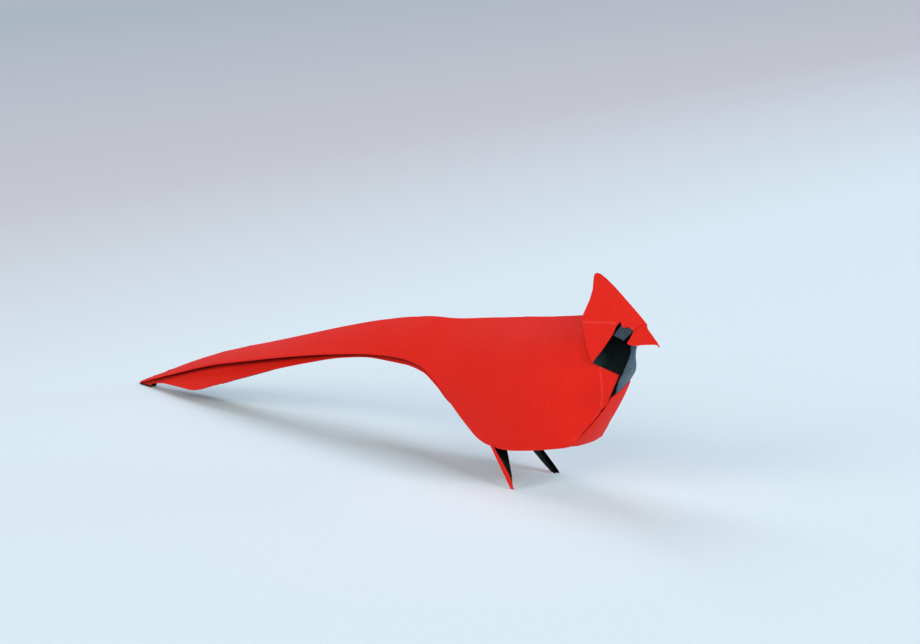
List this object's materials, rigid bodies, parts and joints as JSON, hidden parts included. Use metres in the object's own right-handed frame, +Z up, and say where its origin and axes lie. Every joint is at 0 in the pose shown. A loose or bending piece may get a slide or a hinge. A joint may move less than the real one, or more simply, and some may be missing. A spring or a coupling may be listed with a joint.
{
  "type": "origami crested bird",
  "caption": "Folded paper bird with a pointed crest, dark mask, hollow rounded body on two thin legs and a long pleated tail that rests on the ground.",
  "frame": {"origin": "on the ground below the middle of the bird's length, in its middle plane", "axes": "+X towards the beak, +Y towards the bird's left, +Z up"},
  "size_m": [0.18, 0.0206, 0.0544],
  "materials": {
    "red_paper": "matte paper, red outside and black inside"
  },
  "bodies": {
    "root": {"folded_sheet": "red_paper"}
  },
  "joints": []
}
